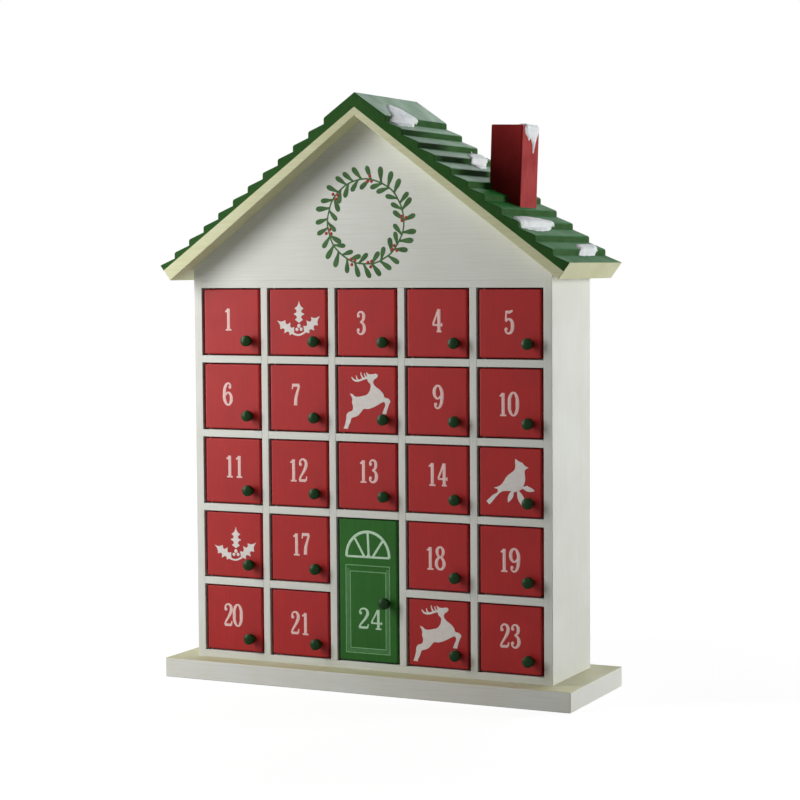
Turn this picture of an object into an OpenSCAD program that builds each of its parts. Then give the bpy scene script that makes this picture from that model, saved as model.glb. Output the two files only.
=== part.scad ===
// Wooden advent calendar shaped like a house, with 24 small doors on hinge pins.
// Millimetres, +Z up, front towards -Y, origin at the centre of the base's underside.

/* [Compartments] */
// Clear width of one compartment
cell_w = 47; // [40:0.5:60]
// Clear height of a small compartment
cell_h = 46.6; // [40:0.2:60]
// Thickness of the shelves and dividers
board_t = 5; // [4:0.25:8]
// Clearance in the half-lap slots where shelves and dividers cross
lap_clear = 0.1; // [0.05:0.05:0.3]

/* [Walls] */
// Depth of the house body, front edge to rear edge
body_d = 69; // [50:1:110]
// Thickness of each side panel
side_t = 6; // [4:0.5:12]
// Thickness of the back panel
back_t = 4; // [3:0.5:8]
// Thickness of the gable panel above the doors
gable_t = 5; // [5:0.5:10]

/* [Base] */
// Thickness of the base board
base_t = 13.5; // [8:0.5:25]
// How far the base stands out beyond each side panel
base_side = 18; // [5:0.5:40]
// How far the base stands out in front of the house
base_front = 15; // [5:0.5:40]
// How far the base stands out behind the house
base_rear = 13; // [5:0.5:40]

/* [Roof] */
// Slope of the roof from level, in degrees
roof_slope = 37; // [30:0.5:45]
// Height of the side panels' inner top edges above the top shelf
eave_rise = 12.4; // [6:0.2:30]
// Thickness of a roof board at the thick lower edge of each course
roof_t = 13.2; // [10:0.2:20]
// Depth of the step at the lower edge of each course
lap_step = 3.2; // [1:0.1:4]
// How much thinner the roof board is along the ridge than at a course's lower edge
ridge_thin = 1; // [0:0.1:2]
// Length of the course beside the ridge, down the slope
ridge_course = 28; // [15:0.5:40]
// Number of courses below the one beside the ridge
course_count = 11; // [6:1:16]
// How far the roof reaches out beyond each side panel
roof_side = 18; // [10:0.5:40]
// How far the roof stands out in front of the house
roof_front = 15; // [5:0.5:40]
// How far the roof stands out behind the house
roof_rear = 13; // [5:0.5:40]

/* [Chimney] */
// Width of the chimney, from its ridge side to its eave side
chimney_w = 22.5; // [12:0.5:35]
// Depth of the chimney, front to rear
chimney_d = 29; // [15:0.5:45]
// Height of the chimney above the roof, along its middle
chimney_h = 47; // [25:0.2:70]
// Lean of the chimney away from the ridge, in degrees
chimney_lean = 2.2; // [0:0.1:5]
// Thickness of roof board left under the chimney's foot
chimney_seat_t = 7; // [4:0.5:9]
// Clearance round the chimney in its pocket
seat_clear = 0.15; // [0.05:0.05:0.4]

/* [Doors] */
// Thickness of a door
door_t = 6; // [5:0.25:8]
// How far the doors' faces lie behind the front edges of the shelves
door_recess = 1; // [0:0.1:2]
// Gap beside a door's hinged edge
side_gap = 1.1; // [1:0.05:1.6]
// Gap beside a door's free edge
free_gap = 2.3; // [1:0.05:3]
// Gap above and below a door
end_gap = 0.9; // [0.3:0.05:1.2]

/* [Hinge pins] */
// Diameter of a hinge pin
pin_d = 2; // [1.5:0.1:2.4]
// Length of pin that reaches into a door
pin_grip = 7; // [4:0.5:12]
// Clearance round a pin in its shelf, where it is tight
pin_fit = 0.01; // [0.01:0.01:0.02]
// Running clearance round a pin in its door
hinge_clear = 0.05; // [0.02:0.01:0.1]
// Depth of a door's bore past the end of its pin
bore_relief = 0.6; // [0.3:0.1:2]

/* [Knobs] */
// Diameter of a knob's head
knob_d = 7.5; // [6:0.25:9]
// How far a knob stands out from its door
knob_reach = 7.4; // [5:0.1:9]
// Diameter of a knob's neck
neck_d = 4.6; // [4:0.1:6]
// Length of a knob's neck
neck_l = 2.8; // [1:0.1:3.5]
// Height of the dome that ends a knob's head
dome_h = 1.1; // [0.6:0.1:2.4]
// Diameter of the spigot that is glued into the door
spigot_d = 3; // [2:0.1:3.8]
// Length of the spigot
spigot_l = 4; // [2:0.25:4.5]
// Clearance round the spigot for glue
spigot_clear = 0.03; // [0.02:0.01:0.1]
// Distance of a knob's axis from its door's free edge
knob_inset = 7.4; // [5:0.1:10]
// Height of a knob's axis above the lower edge of a small door
knob_rise = 9.5; // [5:0.1:30]
// Height of the knob's axis above the lower edge of the tall door
tall_knob_rise = 40.8; // [5:0.1:90]

/* [Door stops] */
// Width of a stop block, out from the divider that carries it
stop_w = 4.2; // [2:0.1:6]
// Depth of a stop block, front to rear
stop_d = 4; // [3:0.25:8]
// Height of a stop block
stop_h = 20; // [10:1:36]
// Gap between a closed door and its stop block
stop_gap = 0.3; // [0.3:0.05:0.6]

/* [Hidden] */
$fn = 48;
// Overrun of a cut past the face it opens
cut = 1;

// Rounded front corner on the hinge side of a door, as a share of its thickness
door_nose_share = 0.25;
// Middle of the chimney's foot, as shares of half the roof's width and of its depth
chimney_x_share = 0.598;
chimney_y_share = 0.054;

// Layout of the doors: the last day has one door that is two rows tall
cols = 5;
rows = 5;
tall_col = 3;
tall_rows = 2;
full_rows = rows - tall_rows;
full_days = full_rows * cols;
short_cols = cols - 1;
last_day = full_days + tall_rows * short_cols + 1;

pitch_x = cell_w + board_t;
pitch_z = cell_h + board_t;
inner_x = (cols * cell_w + short_cols * board_t) / 2;
outer_x = inner_x + side_t;
front_y = base_front - (base_front + body_d + base_rear) / 2;
rear_y = front_y + body_d;
grid_rear_y = rear_y - back_t;
lap_y = (front_y + grid_rear_y) / 2;

ridge_t = roof_t - ridge_thin;
thin_t = roof_t - lap_step;
roof_half_w = outer_x + roof_side;
roof_d = roof_front + body_d + roof_rear;
roof_front_y = front_y - roof_front;

door_face_y = front_y + door_recess;
door_w = cell_w - side_gap - free_gap;
door_h = cell_h - 2 * end_gap;
tall_door_h = door_h + (tall_rows - 1) * pitch_z;
pin_y = door_face_y + door_t / 2;
pin_inset = door_t / 2;
pin_r = pin_d / 2;

// Underside of shelf k: 0 is the top shelf and the last one lies on the base
function shelf_z(k) = base_t + (rows - k) * pitch_z;
top_shelf_z = shelf_z(0) + board_t;
apex_z = top_shelf_z + eave_rise + inner_x * tan(roof_slope);

// Middle of a column, and the divider on its right
function col_x(c) = (c - (cols + 1) / 2) * pitch_x;
function divider_x(i) = (i - cols / 2) * pitch_x;

// Row and column of a day's door; the tall door is named by its lower row
function day_row(d) = d == last_day ? rows
    : d <= full_days ? ceil(d / cols)
    : full_rows + ceil((d - full_days) / short_cols);
function day_place(d) = d - full_days - 1 - (day_row(d) - full_rows - 1) * short_cols;
function day_col(d) = d == last_day ? tall_col
    : d <= full_days ? d - (day_row(d) - 1) * cols
    : day_place(d) + (day_place(d) < tall_col - 1 ? 1 : 2);
function day_height(d) = d == last_day ? tall_door_h : door_h;
function day_bottom(d) = shelf_z(day_row(d)) + board_t + end_gap;
function day_left(d) = col_x(day_col(d)) - cell_w / 2 + side_gap;
function day_knob_rise(d) = d == last_day ? tall_knob_rise : knob_rise;

// A shelf line is broken where the tall door passes it
function broken(k) = k > full_rows && k < rows;
function beside_tall(i) = i == tall_col - 1 || i == tall_col;

function soffit_z(x) = apex_z - abs(x) * tan(roof_slope);
function two_digits(d) = d < 10 ? str("0", d) : str(d);
function door_name(d) = str("door_", two_digits(d));
function knob_name(d) = str("knob_", two_digits(d));

// An outline in X and Z, drawn through from one Y to another
module slab(y0, y1) {
    translate([0, y1, 0])
        rotate([90, 0, 0])
            linear_extrude(y1 - y0)
                children();
}

module box(low, high) {
    translate(low)
        cube(high - low);
}

// Base and walls

module base_board() {
    color("whitesmoke")
        box([-outer_x - base_side, front_y - base_front, 0],
            [outer_x + base_side, rear_y + base_rear, base_t]);
}

module side_panel() {
    color("whitesmoke")
        slab(front_y, rear_y)
            polygon([[inner_x, base_t], [outer_x, base_t],
                     [outer_x, soffit_z(outer_x)], [inner_x, soffit_z(inner_x)]]);
}

module side_left() {
    mirror([1, 0, 0])
        side_panel();
}

module side_right() {
    side_panel();
}

// A panel between the sides, from a level lower edge up to the roof's underside
module house_outline(bottom_z) {
    polygon([[-inner_x, bottom_z], [inner_x, bottom_z], [inner_x, soffit_z(inner_x)],
             [0, apex_z], [-inner_x, soffit_z(inner_x)]]);
}

module back_panel() {
    color("whitesmoke")
        slab(grid_rear_y, rear_y)
            house_outline(base_t);
}

module gable_front() {
    color("whitesmoke")
        slab(front_y, front_y + gable_t)
            house_outline(top_shelf_z);
}

// Compartment grid

// One shelf from x0 to x1, with slots for the dividers and bores for the pins
module shelf(k, x0, x1) {
    crossed = k > 0 && k < rows;
    difference() {
        box([x0, front_y, shelf_z(k)], [x1, grid_rear_y, shelf_z(k) + board_t]);
        if (crossed)
            for (i = [1:short_cols])
                if (divider_x(i) > x0 && divider_x(i) < x1)
                    box([divider_x(i) - board_t / 2 - lap_clear, front_y - cut, shelf_z(k) - cut],
                        [divider_x(i) + board_t / 2 + lap_clear, lap_y + lap_clear,
                         shelf_z(k) + board_t + cut]);
        for (c = [1:cols])
            if (col_x(c) > x0 && col_x(c) < x1)
                translate([pin_x(c), pin_y, shelf_z(k) - cut])
                    cylinder(r = pin_r + pin_fit, h = board_t + 2 * cut);
    }
}

module shelves() {
    tall_x0 = divider_x(tall_col - 1) - board_t / 2;
    tall_x1 = divider_x(tall_col) + board_t / 2;
    color("whitesmoke")
        for (k = [0:rows])
            if (broken(k)) {
                shelf(k, -inner_x, tall_x0);
                shelf(k, tall_x1, inner_x);
            } else
                shelf(k, -inner_x, inner_x);
}

module divider(i) {
    difference() {
        box([divider_x(i) - board_t / 2, front_y, shelf_z(rows) + board_t],
            [divider_x(i) + board_t / 2, grid_rear_y, shelf_z(0)]);
        for (k = [1:rows - 1])
            if (!(broken(k) && beside_tall(i)))
                box([divider_x(i) - board_t / 2 - cut, lap_y, shelf_z(k) - lap_clear],
                    [divider_x(i) + board_t / 2 + cut, grid_rear_y + cut,
                     shelf_z(k) + board_t + lap_clear]);
    }
}

module dividers() {
    color("whitesmoke")
        for (i = [1:short_cols])
            divider(i);
}

// One block beside each door's free edge, half way up, that the closed door rests against
module door_stops() {
    stop_y = door_face_y + door_t + stop_gap;
    color("whitesmoke")
        for (d = [1:last_day]) {
            wall_x = col_x(day_col(d)) + cell_w / 2;
            middle_z = day_bottom(d) + day_height(d) / 2;
            box([wall_x - stop_w, stop_y, middle_z - stop_h / 2],
                [wall_x, stop_y + stop_d, middle_z + stop_h / 2]);
        }
}

// Hinge pins

function pin_x(c) = col_x(c) - cell_w / 2 + side_gap + pin_inset;

// Pins stand in the shelves: the top ones reach only down and the lowest ones only up
module hinge_pins() {
    reach = end_gap + pin_grip;
    color("silver")
        for (k = [0:rows], c = [1:cols])
            if (!(broken(k) && c == tall_col)) {
                low = shelf_z(k) - (k == rows ? 0 : reach);
                high = shelf_z(k) + board_t + (k == 0 ? 0 : reach);
                translate([pin_x(c), pin_y, low])
                    cylinder(r = pin_r, h = high - low);
            }
}

// Doors

// Plan of a door, with its hinge side to the left and its front edge rounded there
module door_plan() {
    nose_r = door_nose_share * door_t;
    translate([nose_r, 0])
        square([door_w - nose_r, door_t]);
    translate([0, nose_r])
        square([door_w, door_t - nose_r]);
    translate([nose_r, nose_r])
        circle(nose_r);
}

module door(d) {
    h = day_height(d);
    bore_depth = pin_grip + bore_relief;
    color(d == last_day ? "seagreen" : "firebrick")
        translate([day_left(d), door_face_y, day_bottom(d)])
            difference() {
                linear_extrude(h)
                    door_plan();
                for (z = [-cut, h - bore_depth])
                    translate([pin_inset, door_t / 2, z])
                        cylinder(r = pin_r + hinge_clear, h = bore_depth + cut);
                translate([door_w - knob_inset, spigot_l + spigot_clear, day_knob_rise(d)])
                    rotate([90, 0, 0])
                        cylinder(r = spigot_d / 2 + spigot_clear, h = spigot_l + spigot_clear + cut);
            }
}

// Half outline of a knob, turned about its axis: spigot below 0, neck, head and dome above
module knob_outline() {
    head_r = knob_d / 2;
    dome_r = (head_r * head_r + dome_h * dome_h) / (2 * dome_h);
    translate([0, -spigot_l])
        square([spigot_d / 2, spigot_l]);
    square([neck_d / 2, neck_l]);
    translate([0, neck_l])
        square([head_r, knob_reach - dome_h - neck_l]);
    intersection() {
        translate([0, knob_reach - dome_r])
            circle(dome_r);
        translate([0, neck_l])
            square([head_r, knob_reach - neck_l]);
    }
}

module knob(d) {
    color("darkgreen")
        translate([day_left(d) + door_w - knob_inset, door_face_y, day_bottom(d) + day_knob_rise(d)])
            rotate([90, 0, 0])
                rotate_extrude()
                    knob_outline();
}

// Roof

// A place on the roof's section: u down the slope from the apex, v up from the underside
function slope_pt(u, v) = [
    u * cos(roof_slope) + v * sin(roof_slope),
    apex_z - u * sin(roof_slope) + v * cos(roof_slope)
];

eave_u = (roof_half_w - roof_t * sin(roof_slope)) / cos(roof_slope);
first_u = ridge_course - ridge_t * tan(roof_slope);
course_l = (eave_u - first_u) / course_count;
// A course's lower edge is cut plumb, so its foot lies this far down the slope from its nose
plumb_run = lap_step * tan(roof_slope);

// Section of the right half: a level underside, a square end and a stepped upper face
roof_section = concat(
    [[0, apex_z], slope_pt(eave_u, 0)],
    [for (k = [course_count:-1:1])
        each [slope_pt(first_u + k * course_l, roof_t),
              slope_pt(first_u + (k - 1) * course_l + plumb_run, thin_t)]],
    [slope_pt(first_u, roof_t), [0, apex_z + ridge_t / cos(roof_slope)]]
);

module roof_half() {
    slab(roof_front_y, roof_front_y + roof_d)
        polygon(roof_section);
}

module roof_left() {
    color("seagreen")
        mirror([1, 0, 0])
            roof_half();
}

module roof_right() {
    color("seagreen")
        difference() {
            roof_half();
            chimney_block(seat_clear);
        }
}

// Chimney

// The chimney from its sloping foot up, grown by clear on its four sides
module chimney_block(clear) {
    foot_x = chimney_x_share * roof_half_w;
    foot_z = soffit_z(foot_x) + (thin_t + roof_t) / 2 / cos(roof_slope);
    mid_y = roof_front_y + roof_d / 2 + chimney_y_share * roof_d;
    half_w = chimney_w / 2 + clear;
    slab(mid_y - chimney_d / 2 - clear, mid_y + chimney_d / 2 + clear)
        difference() {
            translate([foot_x, foot_z])
                rotate(-chimney_lean)
                    translate([-half_w, -chimney_w - roof_t])
                        square([2 * half_w, chimney_w + roof_t + chimney_h]);
            polygon([slope_pt(0, chimney_seat_t), slope_pt(eave_u, chimney_seat_t),
                     slope_pt(eave_u, -eave_u), slope_pt(0, -eave_u)]);
        }
}

module chimney() {
    color("firebrick")
        chimney_block(0);
}

base_board();
side_left();
side_right();
back_panel();
gable_front();
shelves();
dividers();
door_stops();
hinge_pins();
roof_left();
roof_right();
chimney();
for (d = [1:last_day]) {
    door(d);
    knob(d);
}
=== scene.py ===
import math
import random

import bmesh
import bpy
from mathutils import Matrix, Vector, noise


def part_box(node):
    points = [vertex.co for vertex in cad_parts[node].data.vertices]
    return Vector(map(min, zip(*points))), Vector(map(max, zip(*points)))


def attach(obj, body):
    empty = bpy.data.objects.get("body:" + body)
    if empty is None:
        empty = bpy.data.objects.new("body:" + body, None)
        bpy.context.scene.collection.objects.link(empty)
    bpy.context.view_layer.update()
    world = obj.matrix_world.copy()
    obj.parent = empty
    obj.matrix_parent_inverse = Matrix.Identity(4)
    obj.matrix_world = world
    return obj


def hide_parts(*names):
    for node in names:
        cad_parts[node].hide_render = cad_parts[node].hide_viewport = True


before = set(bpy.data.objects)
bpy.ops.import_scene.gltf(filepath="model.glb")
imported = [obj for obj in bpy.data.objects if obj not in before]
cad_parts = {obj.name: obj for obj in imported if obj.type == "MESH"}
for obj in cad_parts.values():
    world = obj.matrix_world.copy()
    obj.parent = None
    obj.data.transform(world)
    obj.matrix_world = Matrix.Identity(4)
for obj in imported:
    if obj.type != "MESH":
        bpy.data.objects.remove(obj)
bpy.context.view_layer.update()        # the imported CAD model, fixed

scene = bpy.context.scene
mm = 0.001    # shapes are drawn in millimetres and made metres at the end

# Places that several pieces share, in millimetres, as in the CAD source
house = {
    "cols": 5, "rows": 5, "fullRows": 3, "tallCol": 3, "lastDay": 24,
    "pitchX": 52, "pitchZ": 51.6, "board": 5,
    "frontY": -33.5, "lapY": -1, "gridRearY": 31.5, "lapGap": 0.1,
    "innerX": 127.5, "baseTop": 13.5,
    "slope": math.radians(37), "apexZ": 384.98,
}
days = range(1, house["lastDay"] + 1)
slopeCos = math.cos(house["slope"])
slopeSin = math.sin(house["slope"])
slopeTan = math.tan(house["slope"])
near = 0.01    # mm within which two places count as one, and radians for directions
arrisFrom = 0.5    # radians that an edge turns before it is eased
cornerFrom = 0.9    # radians that it turns before smooth shading stops at it


def columnX(col):
    return (col - (house["cols"] + 1) / 2) * house["pitchX"]


def shelfZ(k):    # underside of shelf k, 0 at the top and 5 on the base
    return house["baseTop"] + (house["rows"] - k) * house["pitchZ"]


def dayCell(day):    # row and column of a day's door; the tall one stands in the last two rows
    if day == house["lastDay"]:
        return house["rows"], house["tallCol"]
    cols = house["cols"]
    fullDays = house["fullRows"] * cols
    if day <= fullDays:
        row = math.ceil(day / cols)
        return row, day - (row - 1) * cols
    rowsOn = math.ceil((day - fullDays) / (cols - 1))
    place = day - fullDays - (rowsOn - 1) * (cols - 1)
    return house["fullRows"] + rowsOn, place + (1 if place >= house["tallCol"] else 0)


def slopePoint(u, v, side=1):    # u down the slope from the apex, v up from the soffit
    x = u * slopeCos + v * slopeSin
    return side * x, house["apexZ"] - u * slopeSin + v * slopeCos


def boardMesh(low, high):
    bm = bmesh.new()
    bmesh.ops.create_cube(bm, size=1)
    low = Vector(low)
    high = Vector(high)
    bmesh.ops.scale(bm, vec=high - low, verts=bm.verts)
    bmesh.ops.translate(bm, vec=(high + low) / 2, verts=bm.verts)
    return bm


def nodeBoard(node):    # a board the size of a CAD node's box
    low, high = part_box(node)
    return boardMesh(low / mm, high / mm)


def everything(bm):
    return bm.verts[:] + bm.edges[:] + bm.faces[:]


def cutOff(bm, point, normal):    # takes off what stands above a plane, and closes the cut
    cut = bmesh.ops.bisect_plane(bm, geom=everything(bm), plane_co=point, plane_no=normal,
                                 clear_outer=True)
    rim = [e for e in cut["geom_cut"] if isinstance(e, bmesh.types.BMEdge)]
    bmesh.ops.contextual_create(bm, geom=rim)


def cutAtSoffit(bm, sides=(-1, 1)):    # slopes a panel's top to lie under the roof
    for side in sides:
        cutOff(bm, (0, 0, house["apexZ"]), (side * slopeSin, 0, slopeCos))


def arrises(bm, test=None):    # outer edges that a sander or a router would ease
    found = [e for e in bm.edges if e.is_manifold and e.is_convex and e.calc_face_angle() > arrisFrom]
    return [e for e in found if test is None or test(e)]


def ease(bm, edges, width, segments=3):
    bmesh.ops.bevel(bm, geom=edges, offset=width, offset_type="OFFSET", segments=segments,
                    profile=0.5, affect="EDGES", material=-1, clamp_overlap=False)


def shifted(bm, place):
    bmesh.ops.translate(bm, vec=place, verts=bm.verts)
    return bm


def drawnOut(bm, by):    # a flat mesh made a solid
    drawn = bmesh.ops.extrude_face_region(bm, geom=bm.faces[:])["geom"]
    moved = [v for v in drawn if isinstance(v, bmesh.types.BMVert)]
    bmesh.ops.translate(bm, vec=by, verts=moved)
    bmesh.ops.recalc_face_normals(bm, faces=bm.faces)


def welded(bm, gap):
    bmesh.ops.remove_doubles(bm, verts=bm.verts, dist=gap)
    bmesh.ops.recalc_face_normals(bm, faces=bm.faces)
    return bm


def linked(data, name="draft"):
    thing = bpy.data.objects.new(name, data)
    scene.collection.objects.link(thing)
    return thing


def evaluated(thing):    # the mesh of an object with its modifiers, and the object gone
    bpy.context.view_layer.update()
    graph = bpy.context.evaluated_depsgraph_get()
    mesh = bpy.data.meshes.new_from_object(thing.evaluated_get(graph))
    bpy.data.objects.remove(thing)
    return mesh


def toMesh(bm, name="draft"):
    mesh = bpy.data.meshes.new(name)
    bm.to_mesh(mesh)
    bm.free()
    return mesh


def fromMesh(mesh):
    bm = bmesh.new()
    bm.from_mesh(mesh)
    return bm


def carved(bm, cutter):
    blank = linked(toMesh(bm))
    tool = linked(toMesh(cutter))
    carve = blank.modifiers.new("carve", "BOOLEAN")
    carve.operation = "DIFFERENCE"
    carve.solver = "EXACT"
    carve.object = tool
    result = fromMesh(evaluated(blank))
    bpy.data.objects.remove(tool)
    return result


def joined(parts):    # several meshes in one
    whole = bmesh.new()
    for bm in parts:
        whole.from_mesh(toMesh(bm))
    return whole


def addPiece(bm, name, materials, body="house", slot="white_paint", stands=()):
    bmesh.ops.scale(bm, vec=(mm, mm, mm), verts=bm.verts)
    for edge in bm.edges:    # smooth shading stops at corners that no bevel rounds
        edge.smooth = not edge.is_manifold or edge.calc_face_angle() < cornerFrom
    for face in bm.faces:
        face.smooth = True
    piece = linked(toMesh(bm, name), name)
    for material in materials:
        piece.data.materials.append(material)
    normals = piece.modifiers.new("normals", "WEIGHTED_NORMAL")
    normals.keep_sharp = True
    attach(piece, body)
    if stands:
        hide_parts(*stands)
    return piece


def linear(hexColour):
    parts = [int(hexColour[i:i + 2], 16) / 255 for i in (1, 3, 5)]
    return [c / 12.92 if c <= 0.04045 else ((c + 0.055) / 1.055) ** 2.4 for c in parts] + [1]


def addNode(tree, kind, inputs=None, **settings):
    node = tree.nodes.new("ShaderNode" + kind)
    for key, value in settings.items():
        setattr(node, key, value)
    for key, value in (inputs or {}).items():
        if isinstance(value, bpy.types.NodeSocket):
            tree.links.new(value, node.inputs[key])
        else:
            node.inputs[key].default_value = value
    return node


def newMaterial(name):
    material = bpy.data.materials.new(name)
    material.use_nodes = True
    tree = material.node_tree
    tree.nodes.clear()
    return material, tree


def finish(tree, shader):
    addNode(tree, "OutputMaterial", {"Surface": shader.outputs[0]})


levelGrain = (1, 0, 0)
uprightGrain = (0, 0, 1)
depthGrain = (0, 1, 0)

# What most coats share, in millimetres. A coat's three colours are its own, its clouds' and its
# streaks'; the spans are the noise values between which clouds and streaks come up.
coatLook = {
    "grain": levelGrain, "cloudShare": 0.8, "cloudSpan": (0.3, 0.7), "streakShare": 0.5,
    "streakSpan": (0.42, 0.74), "peel": 0.5, "ridge": 0.07, "skin": 0.015, "shine": 0.2,
}


def paint(name, look, **changes):
    # One coat system for every painted part: cloudy colour, fibre streaks along the grain,
    # brush ridges and orange peel, all at their real size
    look = {**coatLook, **look, **changes}
    own, clouded, streaked = [linear(colour) for colour in look["colours"]]
    material, tree = newMaterial(name)
    place = addNode(tree, "TexCoord").outputs["Object"]
    wide, long = look["streak"]
    stretch = [1 / (mm * (long if along else wide)) for along in look["grain"]]
    fibres = addNode(tree, "Mapping", {"Vector": place, "Scale": stretch}).outputs[0]
    noises = []
    for vector, size, detail, fine in ((fibres, 1, 4, 0.6), (place, mm * look["cloud"], 3, 0.55),
                                       (place, mm * look["peel"], 2, 0.5)):
        noises.append(addNode(tree, "TexNoise", {
            "Vector": vector, "Scale": 1 / size, "Detail": detail, "Roughness": fine}).outputs[0])
    streaks, clouds, peel = noises
    shares = []
    for source, span, ends in (
            (streaks, look["streakSpan"], (0, look["streakShare"])),
            (clouds, look["cloudSpan"], (0, look["cloudShare"])),
            (clouds, look["cloudSpan"], look["rough"])):
        shares.append(addNode(tree, "MapRange", {
            "Value": source, "From Min": span[0], "From Max": span[1], "To Min": ends[0],
            "To Max": ends[1]}).outputs[0])
    streakShare, cloudShare, rough = shares
    shade = addNode(tree, "Mix", {0: cloudShare, 6: own, 7: clouded}, data_type="RGBA")
    colour = addNode(tree, "Mix", {0: streakShare, 6: shade.outputs[2], 7: streaked},
                     data_type="RGBA")
    if "dull" in look:    # rougher towards the low end of a height range
        low, high, extra = look["dull"]
        height = addNode(tree, "SeparateXYZ", {0: place}).outputs["Z"]
        dull = addNode(tree, "MapRange", {
            "Value": height, "From Min": low * mm, "From Max": high * mm, "To Min": extra, "To Max": 0})
        rough = addNode(tree, "Math", {0: rough, 1: dull.outputs[0]}).outputs[0]
    ridges = addNode(tree, "Bump", {
        "Height": streaks, "Strength": 1, "Distance": look["ridge"] * mm})
    skin = addNode(tree, "Bump", {
        "Height": peel, "Strength": 1, "Distance": look["skin"] * mm, "Normal": ridges.outputs[0]})
    finish(tree, addNode(tree, "BsdfPrincipled", {
        "Base Color": colour.outputs[2], "Roughness": rough, "Normal": skin.outputs[0],
        "Specular IOR Level": look["shine"]}))
    return material


# Brushed satin white over plywood: the wood's fibres telegraph through as faint streaks
whitePaint = {
    "colours": ("#E3E5DE", "#DCDDD3", "#CFCFC4"), "cloud": 38, "streakShare": 0.42,
    "streak": (0.9, 34), "rough": (0.42, 0.58), "ridge": 0.05, "skin": 0.012,
}
whiteLevel = paint("brushed_white_paint_level_grain", whitePaint)
whiteUpright = paint("brushed_white_paint_upright_grain", whitePaint, grain=uprightGrain)
# The base's copy of the white coat, a touch lighter as painted light on the base's front
basePaint = paint("brushed_white_paint_base", whitePaint, colours=("#E4E6E1", "#DEDDD1", "#CFCCBC"))

# Cream undercoat left bare on the roof boards' lower edges and ends
creamLook = {
    "colours": ("#D9DBB6", "#D1D1A4", "#BFB88C"), "cloud": 24, "streakShare": 0.4,
    "streak": (1, 30), "rough": (0.42, 0.6), "ridge": 0.06, "skin": 0.012,
}
creamPaint = paint("brushed_cream_undercoat", creamLook)
# The same coat on top of the base, with a shade darker painted in as shade, where the top gets less
# light
shadedBaseCream = paint("cream_with_painted_shade_on_base_top", creamLook, colours=("#C8C7A8", "#C0BD98", "#AFA882"))

# Satin enamel on the milled roof boards: its sheen lies on the courses, duller near the eaves,
# and brush ridges run along them
roofGreen = paint("satin_green_roof_enamel", {
    "colours": ("#2C6E33", "#256129", "#1B4A20"), "cloud": 22, "streak": (0.8, 26),
    "grain": depthGrain, "peel": 0.6, "rough": (0.38, 0.5), "skin": 0.02, "shine": 0.05,
    "dull": (320, 350, 0.2),
})
# The same coat soaked into sawn edges and steps, where it dries flat and a little browner
edgeGreen = paint("flat_green_on_sawn_edges", {
    "colours": ("#365F2C", "#2C5226", "#20421D"), "cloud": 16, "streak": (0.8, 20),
    "grain": depthGrain, "peel": 0.6, "rough": (0.55, 0.7), "skin": 0.03, "shine": 0.03,
})

# Satin lacquer sprayed on the door blanks: near smooth, fibres barely seen
lacquer = {
    "colours": ("#B02120", "#A11C1D", "#871819"), "cloud": 20, "streakShare": 0.35,
    "streak": (0.7, 24), "grain": uprightGrain, "peel": 0.7, "rough": (0.42, 0.54),
    "ridge": 0.03, "shine": 0.3,
}
doorRed = paint("satin_red_door_lacquer", lacquer)
doorGreen = paint("satin_green_door_lacquer", lacquer, colours=("#336E2C", "#2C5F26", "#234D1F"),
                  rough=(0.38, 0.5), shine=0.13)

# Flat brick red on the chimney, brushed upright
brickRed = paint("flat_brick_red_paint", {
    "colours": ("#B13331", "#9B292A", "#7C2124"), "cloudShare": 0.9, "cloud": 14,
    "streak": (0.8, 18), "grain": uprightGrain, "rough": (0.5, 0.66), "skin": 0.02, "shine": 0.05,
})

# Turned beech knobs dipped in gloss: small bright highlights on the dome
knobGloss = paint("dipped_green_knob_gloss", {
    "colours": ("#123A10", "#0D2B0C", "#0A2009"), "cloud": 5, "streakShare": 0.3,
    "streak": (0.5, 6), "grain": depthGrain, "peel": 1.2, "rough": (0.28, 0.36), "ridge": 0.008,
    "skin": 0.02, "shine": 0.12,
})

# Screen-printed white: flat, with the door's red showing a little where the film is thin
ink = {
    "colours": ("#E9E6E1", "#E2D8D2", "#D9C2BC"), "cloudShare": 0.9, "cloud": 3,
    "streakShare": 0.35, "streak": (0.4, 1.4), "peel": 0.4, "rough": (0.5, 0.65), "ridge": 0.01,
}
figureWhite = paint("printed_white_ink", ink)
# The thin strokes of the numbers let more of it through, and those on the tall door its green
numberWhite = paint("thin_white_ink_over_red", ink, colours=("#F0D0CB", "#E9C2BC", "#DDA8A1"))
fanWhite = paint("thin_white_ink_over_green", ink, colours=("#CDE7CC", "#BFDDBE", "#A3C6A3"))

# Pale green ink in fine lines; the band between them is rolled thin, a shade over the lacquer
lineInk = dict(ink, colours=("#88BA86", "#74A873", "#4C8358"), cloud=4, streakShare=0.4,
               streak=(0.4, 2), grain=uprightGrain)
panelInk = paint("printed_pale_green_ink", lineInk)
bandInk = paint("thin_green_ink_band", lineInk, colours=("#4F8350", "#487A46", "#3C6B38"))

# Leaf green and berry red ink on the gable: flat and mottled, as a screen lays them on wood
wreathGreen = paint("printed_leaf_green_ink", lineInk, colours=("#45703A", "#355A2D", "#284722"),
                    cloudShare=1, cloud=7, grain=levelGrain)
berryRed = paint("printed_berry_red_ink", ink, colours=("#B03A37", "#962B2C", "#7F2225"),
                 cloud=2, streakShare=0.3, streak=(0.3, 1), rough=(0.45, 0.6))

# Thick dabbed acrylic for snow: lumpy and matt, with a slight blue in clouds and streaks that fall at
# random
snowPaint = paint("dabbed_snow_acrylic", {
    "colours": ("#F6F8F7", "#E6ECEF", "#CFD9DD"), "cloud": 3.2, "streakShare": 0.4,
    "streak": (0.9, 2), "grain": depthGrain, "peel": 0.7, "rough": (0.55, 0.75), "ridge": 0.12,
    "skin": 0.06,
})
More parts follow.
